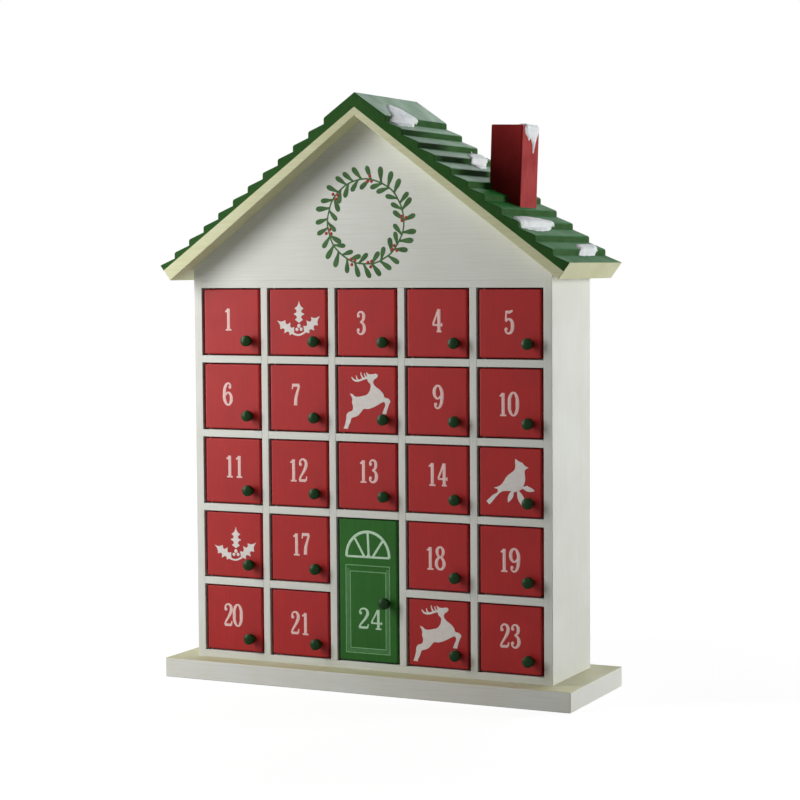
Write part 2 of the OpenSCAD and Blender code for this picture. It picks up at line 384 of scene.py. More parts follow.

# Steel wire coloured dark as painted shade, so that the pins stay dark where they show in the door
# gaps: fine rings round the pin, here wide enough to show, and a dull glint
steel = {"colours": ("#77726C", "#55514C"), "rings": (60, 60, 2500), "rough": (0.32, 0.5),
         "mark": 0.01}
darkPinSteel, steelTree = newMaterial("steel_pin_darkened_as_painted_shade")
place = addNode(steelTree, "TexCoord").outputs["Object"]
rings = addNode(steelTree, "Mapping", {"Vector": place, "Scale": steel["rings"]})
lines = addNode(steelTree, "TexNoise", {
    "Vector": rings.outputs[0], "Scale": 1, "Detail": 3}).outputs[0]
bright, dark = [linear(colour) for colour in steel["colours"]]
tone = addNode(steelTree, "Mix", {0: lines, 6: bright, 7: dark}, data_type="RGBA")
rough = addNode(steelTree, "MapRange", {
    "Value": lines, "To Min": steel["rough"][0], "To Max": steel["rough"][1]})
marks = addNode(steelTree, "Bump", {"Height": lines, "Distance": steel["mark"] * mm})
finish(steelTree, addNode(steelTree, "BsdfPrincipled", {
    "Base Color": tone.outputs[2], "Metallic": 1, "Roughness": rough.outputs[0],
    "Normal": marks.outputs[0]}))
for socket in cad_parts["hinge_pins"].material_slots:
    socket.material = darkPinSteel
print("materials made")


# Widths in millimetres that each kind of edge is rounded by
walls = {"baseEase": 0.7, "ease": 0.45, "seamEase": 0.08}

base = nodeBoard("base_board")
ease(base, arrises(base), walls["baseEase"])
# the top faces take the cream coat with its painted shade
for face in base.faces:
    face.material_index = 1 if face.normal.z > 0.7 else 0    # cream on top
addPiece(base, "base", [basePaint, shadedBaseCream], stands=["base_board"])

for node, side in (("side_left", -1), ("side_right", 1)):
    panel = nodeBoard(node)
    cutAtSoffit(panel, (side,))
    inner = side * house["innerX"]
    seams = arrises(panel, lambda e: all(abs(v.co.x - inner) < near for v in e.verts))
    ease(panel, seams, walls["seamEase"], 1)
    outer = arrises(panel, lambda e: all(abs(v.co.x - inner) > 1 for v in e.verts))
    ease(panel, outer, walls["ease"])
    addPiece(panel, node.replace("_", "") + "Panel", [whiteUpright], stands=[node])

for node, name, coat in (("back_panel", "backPanel", whiteUpright),
                         ("gable_front", "gablePanel", whiteLevel)):
    panel = nodeBoard(node)
    cutAtSoffit(panel)
    ease(panel, arrises(panel), walls["seamEase"])
    addPiece(panel, name, [coat], stands=[node])
print("walls made")


# The compartment grid: half-lapped boards, and a stop for each door
lattice = {"ease": 0.3, "stop": (4.2, 4, 20), "stopGap": 0.3, "stopEase": 0.3}


def slottedBoard(lowU, highU, slots):
    # drawn flat with U along it and V from front to rear; a slot is (middle, low V, high V)
    bm = bmesh.new()
    bmesh.ops.create_grid(bm, x_segments=1, y_segments=1, size=0.5)
    depth = house["gridRearY"] - house["frontY"]
    bmesh.ops.scale(bm, vec=(highU - lowU, depth, 1), verts=bm.verts)
    shifted(bm, ((highU + lowU) / 2, house["frontY"] + depth / 2, 0))
    half = house["board"] / 2 + house["lapGap"]
    for middle, lowV, highV in slots:
        for point, normal in (((middle - half, 0, 0), (1, 0, 0)), ((middle + half, 0, 0), (1, 0, 0)),
                              ((0, lowV, 0), (0, 1, 0)), ((0, highV, 0), (0, 1, 0))):
            bmesh.ops.bisect_plane(bm, geom=everything(bm), plane_co=point, plane_no=normal)
        gone = []
        for face in bm.faces:
            centre = face.calc_center_median()
            if abs(centre.x - middle) < half and lowV < centre.y < highV:
                gone.append(face)
        bmesh.ops.delete(bm, geom=gone, context="FACES")
    bmesh.ops.dissolve_limit(bm, angle_limit=near, verts=bm.verts, edges=bm.edges)
    drawnOut(bm, (0, 0, house["board"]))

    def frontArris(edge):
        a, b = (v.co for v in edge.verts)
        return max(a.y, b.y) < house["frontY"] + near and abs(a.z - b.z) < near

    ease(bm, arrises(bm, frontArris), lattice["ease"])
    return bm


def dividerX(i):
    return (i - house["cols"] / 2) * house["pitchX"]


half = house["board"] / 2
brokenShelf = house["rows"] - 1    # the shelf line that the tall door passes
doorLine = (house["tallCol"] - 1, house["tallCol"])    # dividers to its left and right
dividers = range(1, house["cols"])
shelfBoards = []
for k in range(house["rows"] + 1):
    spans = [(-house["innerX"], house["innerX"])]
    if k == brokenShelf:
        spans = [(-house["innerX"], dividerX(doorLine[0]) - half),
                 (dividerX(doorLine[1]) + half, house["innerX"])]
    for lowX, highX in spans:
        crossings = [dividerX(i) for i in dividers if lowX < dividerX(i) < highX]
        if k in (0, house["rows"]):    # the top and bottom shelves lie past the dividers' ends
            crossings = []
        slots = [(c, house["frontY"] - 1, house["lapY"] + house["lapGap"]) for c in crossings]
        shelfBoards.append(shifted(slottedBoard(lowX, highX, slots), (0, 0, shelfZ(k))))
addPiece(joined(shelfBoards), "shelfBoards", [whiteLevel], stands=["shelves"])

dividerBoards = []
for i in dividers:
    crossings = [shelfZ(k) + half for k in range(1, house["rows"])
                 if not (k == brokenShelf and i in doorLine)]
    slots = [(c, house["lapY"], house["gridRearY"] + 1) for c in crossings]
    board = slottedBoard(shelfZ(house["rows"]) + house["board"], shelfZ(0), slots)
    stand = Matrix(((0, 0, 1, 0), (0, 1, 0, 0), (1, 0, 0, 0), (0, 0, 0, 1)))    # U becomes Z
    bmesh.ops.transform(board, matrix=stand, verts=board.verts)
    bmesh.ops.recalc_face_normals(board, faces=board.faces)
    dividerBoards.append(shifted(board, (dividerX(i) - half, 0, 0)))
addPiece(joined(dividerBoards), "dividerBoards", [whiteUpright], stands=["dividers"])
print("grid made")

# The nose is the rounding that lets a door turn on its pins
doors = {
    "width": 43.6, "thick": 6, "height": 44.8, "tallHeight": 96.4, "faceY": -32.5,
    "hingeGap": 1.1, "endGap": 0.9, "nose": 1.5, "noseSegments": 6, "ease": 0.9,
    "pinInset": 3, "boreR": 1.05, "boreDepth": 7.6,
    "knobInset": 7.4, "knobRise": 9.5, "tallKnobRise": 40.8,
}
knobs = {
    "spigotR": 1.5, "spigot": 4, "play": 0.03, "neckR": 2.3, "neck": 2.8, "headR": 3.75,
    "reach": 7.4, "dome": 1.1, "lip": 0.5, "rim": 0.55, "fillet": 0.4, "land": 0.2, "steps": 40,
}


def isTall(day):
    return day == house["lastDay"]


def doorHeight(day):
    return doors["tallHeight"] if isTall(day) else doors["height"]


def onDoor(day):    # the body and the paint slot of what a door carries
    return {"body": f"leaf_{day:02d}", "slot": "door_green" if isTall(day) else "door_red"}


def doorCorner(day):    # lower left front corner of a closed door
    row, col = dayCell(day)
    x = columnX(col) - (house["pitchX"] - house["board"]) / 2 + doors["hingeGap"]
    return Vector((x, doors["faceY"], shelfZ(row) + house["board"] + doors["endGap"]))


def knobRise(day):
    return doors["tallKnobRise"] if isTall(day) else doors["knobRise"]


def rod(radius, length, matrix, segments=28):
    bm = bmesh.new()
    bmesh.ops.create_cone(bm, cap_ends=True, segments=segments, radius1=radius, radius2=radius,
                          depth=length, matrix=matrix)
    return bm


def doorBlank(height, rise):
    bm = boardMesh((0, 0, 0), (doors["width"], doors["thick"], height))
    hinge = [e for e in bm.edges if all(v.co.x < near and v.co.y < near for v in e.verts)]
    ease(bm, hinge, doors["nose"], doors["noseSegments"])
    ease(bm, arrises(bm), doors["ease"])
    cutters = []
    for z in (0, height):
        at = (doors["pinInset"], doors["thick"] / 2, z)
        cutters.append(rod(doors["boreR"], 2 * doors["boreDepth"], Matrix.Translation(at)))
    at = Matrix.Translation((doors["width"] - doors["knobInset"], 0, rise))
    turn = Matrix.Rotation(math.pi / 2, 4, "X")
    cutters.append(rod(knobs["spigotR"] + knobs["play"], 2 * knobs["spigot"], at @ turn))
    return carved(bm, joined(cutters))


smallDoor = toMesh(doorBlank(doors["height"], doors["knobRise"]))
tallDoor = toMesh(doorBlank(doors["tallHeight"], doors["tallKnobRise"]))
for day in days:
    bm = shifted(fromMesh(tallDoor if isTall(day) else smallDoor), doorCorner(day))
    coat = doorGreen if isTall(day) else doorRed
    addPiece(bm, f"doorPanel{day:02d}", [coat], stands=[f"door_{day:02d}"], **onDoor(day))
print("doors made")

stopBlocks = []
for day in days:
    width, depth, height = lattice["stop"]
    x = columnX(dayCell(day)[1]) + house["pitchX"] / 2 - half
    y = doors["faceY"] + doors["thick"] + lattice["stopGap"]
    z = doorCorner(day).z + doorHeight(day) / 2
    block = boardMesh((x - width, y, z - height / 2), (x, y + depth, z + height / 2))
    ease(block, arrises(block), lattice["stopEase"], 2)
    stopBlocks.append(block)
addPiece(joined(stopBlocks), "stopBlocks", [whiteUpright], stands=["door_stops"])


def knobTurning():    # the profile as it is turned, spun about the knob's axis
    headR, neckR, neck, reach, rim, lip, fillet = [
        knobs[key] for key in ("headR", "neckR", "neck", "reach", "rim", "lip", "fillet")]
    soft = 0.3    # a rounded corner's middle point lies this share in from the corner
    rimOut = reach - knobs["dome"] - knobs["land"]
    profile = [(0, -knobs["spigot"]), (knobs["spigotR"], -knobs["spigot"]), (knobs["spigotR"], 0),
               (neckR, 0), (neckR, neck - fillet), (neckR + soft * fillet, neck - soft * fillet),
               (neckR + fillet, neck), (headR - lip, neck), (headR - soft * lip, neck + soft * lip),
               (headR, neck + lip), (headR, rimOut)]
    for angle in (30, 60):    # the rolled rim between the drum's side and its face
        turn = math.radians(angle)
        profile.append((headR - rim * (1 - math.cos(turn)), rimOut + rim * math.sin(turn)))
    faceR = headR - rim
    faceOut = rimOut + rim
    for share in (1, 0.75, 0.5, 0.25, 0):
        profile.append((faceR * share, faceOut + (reach - faceOut) * (1 - share ** 2)))
    bm = bmesh.new()
    points = [bm.verts.new((r, -out, 0)) for r, out in profile]
    edges = [bm.edges.new(pair) for pair in zip(points, points[1:])]
    bmesh.ops.spin(bm, geom=bm.verts[:] + edges, cent=(0, 0, 0), axis=(0, 1, 0),
                   angle=2 * math.pi, steps=knobs["steps"], use_merge=True)
    return welded(bm, 0.001)


knobMesh = toMesh(knobTurning())
for day in days:
    at = doorCorner(day) + Vector((doors["width"] - doors["knobInset"], 0, knobRise(day)))
    addPiece(shifted(fromMesh(knobMesh), at), f"pullKnob{day:02d}", [knobGloss],
             f"leaf_{day:02d}", "knob_green", [f"knob_{day:02d}"])
print("knobs made")


# The roof boards: thick at the low end of each course and thin where the next begins
roof = {
    "frontY": -48.5, "rearY": 48.5, "thick": 13.2, "thin": 10, "ridge": 12.2,
    "eaveU": 179.75, "firstU": 18.81, "courses": 11, "ease": 0.45, "nose": 1.1,
    "paintLine": {-1: (4.7, 8.7), 1: (4.5, 6.2)},    # green above it: at the ridge, at the eave
}
courseLong = (roof["eaveU"] - roof["firstU"]) / roof["courses"]
plumbRun = (roof["thick"] - roof["thin"]) * slopeTan
ridgeU = -roof["ridge"] * slopeTan


def roofTop(u):    # height of the stepped upper face above the soffit
    if u < roof["firstU"]:
        share = (u - ridgeU) / (roof["firstU"] - ridgeU)
        return roof["ridge"] + share * (roof["thick"] - roof["ridge"])
    run = (u - roof["firstU"]) % courseLong
    share = 1 - run / plumbRun if run < plumbRun else (run - plumbRun) / (courseLong - plumbRun)
    return roof["thin"] + share * (roof["thick"] - roof["thin"])


def slopeCoords(point, side):    # back from a place to its u and v
    x = side * point.x
    down = house["apexZ"] - point.z
    return x * slopeCos + down * slopeSin, x * slopeSin - down * slopeCos


def roofBoard(side):
    section = [(0, house["apexZ"]), slopePoint(roof["eaveU"], 0, side)]
    for k in range(roof["courses"], 0, -1):
        low = roof["firstU"] + k * courseLong
        section.append(slopePoint(low, roof["thick"], side))
        section.append(slopePoint(low - courseLong + plumbRun, roof["thin"], side))
    section.append(slopePoint(roof["firstU"], roof["thick"], side))
    section.append((0, house["apexZ"] + roof["ridge"] / slopeCos))
    bm = bmesh.new()
    bm.faces.new([bm.verts.new((x, roof["frontY"], z)) for x, z in section])
    drawnOut(bm, (0, roof["rearY"] - roof["frontY"], 0))

    def isNose(edge):    # the rounded lip of a course
        u, v = slopeCoords((edge.verts[0].co + edge.verts[1].co) / 2, side)
        lengthways = abs(edge.verts[0].co.y - edge.verts[1].co.y) > roof["rearY"]
        return lengthways and v > roof["thick"] - near and u < roof["eaveU"] - 1

    def isPlain(edge):
        atRidge = all(abs(v.co.x) < near for v in edge.verts)
        return not isNose(edge) and not atRidge

    ease(bm, arrises(bm, isNose), roof["nose"], 3)
    ease(bm, arrises(bm, isPlain), roof["ease"], 2)
    return bm


def paintRoof(bm, side):
    # enamel on the courses, flat green on edges and steps, cream below the painter's line on the
    # end faces and on the board's lower end
    atRidge, atEaveEnd = roof["paintLine"][side]
    low = slopePoint(0, atRidge, side)
    high = slopePoint(roof["eaveU"], atEaveEnd, side)
    along = Vector((high[0] - low[0], 0, high[1] - low[1])).normalized()
    normal = Vector((-along.z * side, 0, along.x * side))
    bmesh.ops.bisect_plane(bm, geom=everything(bm), plane_co=(low[0], 0, low[1]),
                           plane_no=normal)
    down = Vector((side * slopeCos, 0, -slopeSin))
    for face in bm.faces:    # a face's slot: 0 enamel, 1 cream, 2 flat green
        u, v = slopeCoords(face.calc_center_median(), side)
        line = atRidge + u / roof["eaveU"] * (atEaveEnd - atRidge)
        atEave = u > roof["eaveU"] - 1 and face.normal.dot(down) > 0.8
        if v < line or atEave:
            face.material_index = 1
        elif face.normal.z < 0.5:    # upright, where the courses face up at 37 degrees
            face.material_index = 2
    return bm


chimney = {"wide": 22.5, "deep": 29, "tall": 47, "lean": math.radians(2.2), "footX": 90.6,
           "middleY": 5.24, "seat": 7, "ease": 0.9, "sunk": 36}


def leaned(bm):    # from drawn upright over its foot to its place on the roof
    surface = (roof["thick"] + roof["thin"]) / 2 / slopeCos
    footZ = house["apexZ"] - chimney["footX"] * slopeTan + surface
    bmesh.ops.rotate(bm, verts=bm.verts, cent=(0, 0, 0),
                     matrix=Matrix.Rotation(chimney["lean"], 3, "Y"))
    return shifted(bm, (chimney["footX"], chimney["middleY"], footZ))


def chimneyBlock():
    half = chimney["wide"] / 2
    deep = chimney["deep"] / 2
    bm = leaned(boardMesh((-half, -deep, -chimney["sunk"]), (half, deep, chimney["tall"])))
    x, z = slopePoint(0, chimney["seat"])
    cutOff(bm, (x, 0, z), (-slopeSin, 0, -slopeCos))
    return bm


for side, node, name in ((-1, "roof_left", "roofLeft"), (1, "roof_right", "roofRight")):
    addPiece(paintRoof(roofBoard(side), side), name, [roofGreen, creamPaint, edgeGreen],
             slot="roof_green", stands=[node])

stack = chimneyBlock()
ease(stack, arrises(stack), chimney["ease"])
addPiece(stack, "chimneyStack", [brickRed], slot="brick_red", stands=["chimney"])
print("roof made")


# Snow: thick paint dragged over the course edges. Patches on the slopes are outlines in (u, y),
# and the chimney's runs over its top and down its right side.
snow = {
    "thick": 0.9, "edge": 2.4, "grid": 0.9, "lumps": 4.5, "lumpHeight": 0.45, "wander": 1.6,
    "wanderSpan": 6, "margin": 3, "skirt": 1.2, "shell": 1.2, "bridge": (0.6, 0.3), "corner": 1.2,
    "right": [
        [(2, -17), (4, -11), (8, -6), (14, -1), (19, 0), (23, -8), (26, -18), (28, -32), (27, -43),
         (22, -43), (18, -38), (11, -31), (6, -25)],
        [(51, 34), (52, 46), (57, 47), (63, 38), (68, 29), (72, 20), (73, 12), (70, 6), (65, 8),
         (59, 14), (54, 24)],
        [(131, -46), (127, -36), (126, -18), (129, 0), (133, 12), (137, 12), (140, 2), (143, -14),
         (143, -26), (141, -38), (136, -46)],
        [(157, 16), (156, 34), (158, 43), (162, 41), (166, 30), (168, 24), (168.5, 4), (167.5, -3),
         (162, 1), (159, 8)],
    ],
    "left": [
        [(4, 8), (10, 22), (18, 32), (26, 20), (27, 4), (22, -8), (12, -4)],
        [(74, -30), (70, -12), (76, 6), (86, 2), (90, -14), (86, -34)],
        [(112, 14), (108, 30), (116, 42), (126, 36), (130, 20), (124, 10)],
        [(150, -36), (147, -18), (152, 2), (162, -4), (168, -20), (160, -38)],
    ],
    "chimney": [(9.6, -9.8), (12.6, -10.4), (17.4, -9.2), (19, -5.6), (20.6, -2.8),
                (19.4, -0.6), (22.6, 1.8), (28.6, 4.2), (29.2, 5.6), (22.6, 7.8), (18.8, 10.4),
                (14.6, 13.2), (10.2, 14), (0, 13), (-6.4, 9), (-3.6, 1), (3.6, -4)],
}


def insideBy(x, y, outline):    # how far a point lies inside an outline, negative outside
    inside = False
    nearest = math.inf
    for (ax, ay), (bx, by) in zip(outline, outline[1:] + outline[:1]):
        along = Vector((bx - ax, by - ay))
        out = Vector((x - ax, y - ay))
        share = max(0, min(1, out.dot(along) / along.length_squared))
        nearest = min(nearest, (out - along * share).length)
        if (ay > y) != (by > y) and x < (bx - ax) * (y - ay) / (by - ay) + ax:
            inside = not inside
    return nearest if inside else -nearest


def draped(u):    # the stepped face as thick paint bridges it
    before, after = snow["bridge"]
    return max(roofTop(u - before), roofTop(u), roofTop(u + after))


def dab(outline, seed, lift):    # a mound of paint over an outline; lift places each grid point
    bm = bmesh.new()
    us = [p[0] for p in outline]
    ys = [p[1] for p in outline]
    margin = snow["margin"]
    low = Vector((min(us) - margin, min(ys) - margin))
    span = Vector((max(us) + margin, max(ys) + margin)) - low
    bmesh.ops.create_grid(bm, x_segments=int(span.x / snow["grid"]),
                          y_segments=int(span.y / snow["grid"]), size=0.5)
    bmesh.ops.scale(bm, vec=(span.x, span.y, 1), verts=bm.verts)
    shifted(bm, (low.x + span.x / 2, low.y + span.y / 2, 0))
    outside = []
    wave = snow["wanderSpan"]
    lumps = snow["lumps"]
    for vert in bm.verts:
        u, y, _ = vert.co
        ragged = noise.noise(Vector((u / wave, y / wave, seed)))
        depth = insideBy(u, y, outline) + ragged * snow["wander"]
        if depth < -snow["skirt"]:
            outside.append(vert)
            continue
        rise = max(-1, min(1, depth / snow["edge"]))
        lump = noise.noise(Vector((u / lumps, y / lumps, seed + 7)))    # another slice of the noise
        height = snow["thick"] * math.sin(rise * math.pi / 2)
        height += snow["lumpHeight"] * lump * max(0, rise)
        vert.co = lift(u, y, height)
    bmesh.ops.delete(bm, geom=outside, context="VERTS")
    loose = [v for v in bm.verts if not v.link_faces]
    bmesh.ops.delete(bm, geom=loose, context="VERTS")
    bmesh.ops.recalc_face_normals(bm, faces=bm.faces)
    return bm


def addSnow(bm, name):
    piece = addPiece(bm, name, [snowPaint])
    shell = piece.modifiers.new("shell", "SOLIDIFY")
    shell.thickness = snow["shell"] * mm
    shell.offset = -1


def liftOnRoof(side):
    def lift(u, y, height):
        x, z = slopePoint(u, draped(u) + height, side)
        return Vector((x, y, z))
    return lift


def liftOnStack(u, y, height):    # u runs over the chimney's top to the right and down its side
    half = chimney["wide"] / 2
    top = chimney["tall"]
    corner = snow["corner"]
    if u < half - corner:
        return Vector((u, y, top + height))
    if u < half + corner:
        turn = (u - half + corner) / (2 * corner) * math.pi / 2
        reach = corner + height
        return Vector((half - corner + reach * math.sin(turn), y,
                       top - corner + reach * math.cos(turn)))
    return Vector((half + height, y, top - (u - half)))


for side, key in ((1, "right"), (-1, "left")):
    for i, outline in enumerate(snow[key]):
        addSnow(dab(outline, 10 * side + i, liftOnRoof(side)), f"snow{key.capitalize()}{i + 1}")
addSnow(leaned(dab(snow["chimney"], 31, liftOnStack)), "snowChimney")
print("snow made")


# Printed figures. How they are drawn, 100 high and 52 wide with strokes of radius 7, and how
# they are printed, in millimetres
figures = {"drawn": (52, 100, 7), "tall": 16.2, "narrow": 0.86, "step": 47, "proud": 0.1,
           "strokeProud": 0.12, "layer": 0.03, "dot": (14, 6), "bends": 5}
lastFigures = dict(figures, tall=14.4, narrow=1.18, step=65)    # wider on the tall door

# Strokes are (kind, (x, y, radius), ...)
digitStrokes = {
    "0": [("loop", (26, 96, 3.4), (41, 83, 6.4), (46, 50, 7.6), (41, 17, 6.4), (26, 4, 3.4),
           (11, 17, 6.4), (6, 50, 7.6), (11, 83, 6.4))],
    "1": [("line", (29, 5, 6.8), (29, 94, 6.8)), ("line", (13, 3.6, 3.4), (45, 3.6, 3.4)),
          ("curve", (28, 92, 5.2), (20, 84, 4.4), (11, 81, 3.2))],
    "2": [("dot", (13, 74, 7.4)), ("curve", (8, 76, 3.6), (12, 89, 3.8), (25, 96, 3.8), (39, 90, 6),
           (44, 75, 7.4), (38, 57, 6.8), (24, 36, 5), (11, 18, 4.2), (6, 6, 4.2)),
          ("line", (6, 6, 5.6), (42, 6, 5.6)), ("line", (42, 5, 4.6), (47, 24, 2.6))],
    "3": [("dot", (13, 79, 7)), ("curve", (8, 81, 3.4), (13, 91, 3.6), (25, 96, 3.8), (38, 89, 6.2),
           (41, 76, 7), (35, 60, 5.4), (22, 54, 3.2)),
          ("curve", (22, 54, 3.2), (37, 47, 5.4), (44, 29, 7.6), (38, 11, 6.4), (24, 4, 3.8),
           (12, 9, 3.8), (7, 20, 3.4)), ("dot", (12, 21, 7))],
    "4": [("line", (36, 5, 6.8), (36, 94, 6.8)), ("line", (24, 3.6, 3.4), (49, 3.6, 3.4)),
          ("line", (34, 94, 4.4), (5, 32, 4)), ("line", (4, 30, 3.8), (50, 30, 3.8)),
          ("line", (50, 24, 2.8), (51, 38, 2.4))],
    "5": [("curve", (13, 92, 5), (27, 89, 6), (44, 96, 3.6)),
          ("line", (12, 94, 3.6), (10, 53, 3.6)),
          ("curve", (10, 52, 3.6), (22, 61, 4.4), (37, 56, 6.4), (44, 34, 7.6), (38, 12, 6.4),
           (24, 4, 3.8), (12, 9, 3.8), (7, 20, 3.4)), ("dot", (12, 21, 7))],
    "6": [("dot", (38, 80, 7)), ("curve", (43, 82, 3.4), (38, 92, 3.6), (27, 96, 3.8), (13, 85, 6.2),
           (6, 54, 7.6), (9, 20, 7), (26, 4, 3.8), (41, 14, 6.4), (45, 31, 7.4), (40, 49, 6),
           (27, 57, 3.6), (13, 47, 3.8))],
    "7": [("line", (8, 91, 6.4), (45, 91, 6.4)), ("line", (9, 97, 3), (6, 74, 3)),
          ("curve", (44, 90, 4.6), (35, 66, 5.4), (26, 38, 7), (23, 6, 8))],
    "8": [("loop", (26, 96, 3.8), (39, 88, 6), (42, 75, 6.8), (36, 60, 5.2), (26, 54, 3.6),
           (15, 61, 5.2), (10, 75, 6.8), (13, 88, 6)),
          ("loop", (26, 54, 3.6), (40, 45, 6), (46, 27, 7.4), (40, 11, 6.2), (26, 4, 3.8),
           (12, 11, 6.2), (6, 27, 7.4), (12, 45, 6))],
}
# A 9 is a 6 turned round
drawnWide, drawnTall, drawnStroke = figures["drawn"]
digitStrokes["9"] = [(kind, *[(drawnWide - x, drawnTall - y, r) for x, y, r in points])
                     for kind, *points in digitStrokes["6"]]

# Middle of each printed number, from the middle of its door; the printer didn't centre them all
numberPlaces = {
    1: (-3.1, 2), 3: (-4.2, -0.2), 4: (-0.2, 2.1), 5: (-0.9, 1.1), 6: (-3.8, 1.6),
    7: (-2.2, 2.1), 9: (0.2, 3), 10: (-1.8, -0.5), 11: (0.4, 3.3), 12: (-1.2, 2.4),
    13: (0.2, 3.6), 14: (-0.8, 3.5), 17: (0.5, 3.2), 18: (-2.6, -0.9), 19: (-1.4, 0.7),
    20: (-1.8, 2.2), 21: (-0.8, 0.2), 23: (-0.9, 2.3), 24: (0.8, -19),
}


def doorMiddle(day):    # the middle of a door's compartment, at its face
    z = doorCorner(day).z + doorHeight(day) / 2
    return Vector((columnX(dayCell(day)[1]), doors["faceY"], z))


def addSpline(curve, knots, closed):    # a knot is (place, radius, whether it is a corner)
    spline = curve.splines.new("BEZIER")
    spline.bezier_points.add(len(knots) - 1)
    spline.use_cyclic_u = closed
    for knot, (place, radius, corner) in zip(spline.bezier_points, knots):
        knot.co = place
        knot.radius = radius
        knot.handle_left_type = knot.handle_right_type = "VECTOR" if corner else "AUTO"


def strokeMesh(strokes, size=1, narrow=1):    # ink lines of changing width, almost flat
    curve = bpy.data.curves.new("strokes", "CURVE")
    curve.dimensions = "3D"
    curve.bevel_depth = size
    curve.bevel_resolution = 1
    curve.resolution_u = figures["bends"]
    curve.use_fill_caps = True
    dots = bmesh.new()
    around, high = figures["dot"]
    for kind, *points in strokes:
        places = [(x * size * narrow, y * size, 0) for x, y, r in points]
        if kind == "dot":
            bmesh.ops.create_uvsphere(dots, u_segments=around, v_segments=high,
                                      radius=points[0][2] * size,
                                      matrix=Matrix.Translation(places[0]))
            continue
        corner = kind in ("line", "frame")
        knots = [(place, point[2], corner) for place, point in zip(places, points)]
        addSpline(curve, knots, kind in ("loop", "frame"))
    return welded(joined([fromMesh(evaluated(linked(curve))), dots]), 0.0001)


def printed(bm, middle, flatten, at=(0, 0)):    # stands a drawing up on a front face
    bmesh.ops.scale(bm, vec=(1, 1, flatten), verts=bm.verts)
    upright = Matrix.Rotation(math.pi / 2, 3, "X")
    bmesh.ops.rotate(bm, verts=bm.verts, cent=(0, 0, 0), matrix=upright)
    return shifted(bm, Vector(middle) + Vector((at[0], 0, at[1])))


def shapeMesh(outline, coat):    # a solid printed shape; a point with a third value is a corner
    curve = bpy.data.curves.new("shapes", "CURVE")
    curve.dimensions = "2D"
    curve.fill_mode = "BOTH"
    curve.extrude = coat
    curve.resolution_u = figures["bends"]
    addSpline(curve, [((p[0], p[1], 0), 1, len(p) > 2) for p in outline], True)
    return welded(fromMesh(evaluated(linked(curve))), 0.0001)


def number(day):
    look = lastFigures if isTall(day) else figures
    size = look["tall"] / drawnTall
    parts = []
    for i, digit in enumerate(str(day)):
        part = strokeMesh(digitStrokes[digit], size, look["narrow"])
        parts.append(shifted(part, (i * look["step"] * size, 0, 0)))
    bm = joined(parts)
    wide = (len(str(day)) - 1) * look["step"] + drawnWide * look["narrow"]
    shifted(bm, (-wide * size / 2, -drawnTall * size / 2, 0))
    flatten = look["proud"] / (drawnStroke * size)
    return printed(bm, doorMiddle(day), flatten, numberPlaces[day])


for day in numberPlaces:
    film = fanWhite if isTall(day) else numberWhite
    addPiece(number(day), f"number{day:02d}", [film], **onDoor(day))


def turnedTo(points, base, tip):    # a leaf drawn from (0, 0) to (0, 1), laid from base to tip
    base = Vector(base)
    up = Vector(tip) - base
    across = Vector((up.y, -up.x))
    return [(*(base + across * p[0] + up * p[1]), *p[2:]) for p in points]


def wholeLeaf(half):    # from its right half, foot to tip
    return [(0, 0, 0)] + half + [(-p[0], *p[1:]) for p in half[-2::-1]]


hollyLeaf = wholeLeaf([(0.04, 0.03), (0.21, 0.14, 0), (0.11, 0.26), (0.28, 0.4, 0), (0.12, 0.52),
                       (0.23, 0.66, 0), (0.08, 0.78), (0, 1, 0)])
plainLeaf = wholeLeaf([(0.1, 0.2), (0.17, 0.5), (0.1, 0.82), (0, 1, 0)])

# Outlines in millimetres from the middle of the drawing
deerBody = [
    (8, 16.6), (7.2, 14.8), (5.2, 13.4), (4.7, 11.4), (6.3, 9), (9.6, 6.7), (12.1, 4),
    (13, 1.8), (15.2, 1.3), (17.2, -0.5), (16.3, -2.8), (14.7, -7.4), (14.2, -9.4, 0),
    (11.3, -9.1, 0), (12.2, -6.6), (13.5, -2.7), (12.5, -1.3), (10.6, -1.9), (8.2, -3.2),
    (4, -5.2), (0.6, -6.2), (-2.8, -6.4), (-4.6, -8.4), (-7, -10.8), (-9.8, -11.9),
    (-11.6, -12.5), (-12.7, -15.2), (-14.2, -18.4), (-14.7, -20, 0), (-17.9, -19.8, 0),
    (-17, -17.8), (-15.9, -13.6), (-15.4, -10.2), (-14, -8.7), (-11.3, -7.5), (-10.6, -5.2),
    (-11.3, -2.2), (-11.2, 0.6), (-13, 4, 0), (-10.8, 3.4), (-9.2, 2.1), (-6, 1.9),
    (-3, 2.6), (-0.4, 3.3), (1.6, 5.4), (2.6, 8.2), (2.5, 10.4), (1, 11.9), (0.2, 13.6),
    (0, 15.6), (-0.6, 18.6, 0), (1.4, 17.3), (4.4, 17.2), (6.6, 17.5),
]
deerAntlers = [
    ("curve", (0.8, 15, 0.75), (-2.6, 14, 0.7), (-6.6, 12.7, 0.7), (-9.6, 13, 0.6),
     (-11.6, 15, 0.35)),
    ("curve", (-2.4, 14.1, 0.55), (-4, 15.8, 0.5), (-4.6, 18.4, 0.3)),
    ("curve", (-6.2, 12.8, 0.55), (-7.6, 14.2, 0.45), (-8, 16.2, 0.3)),
    ("curve", (-0.4, 14.8, 0.5), (-1.6, 16.2, 0.4), (-2, 17.8, 0.3)),
]
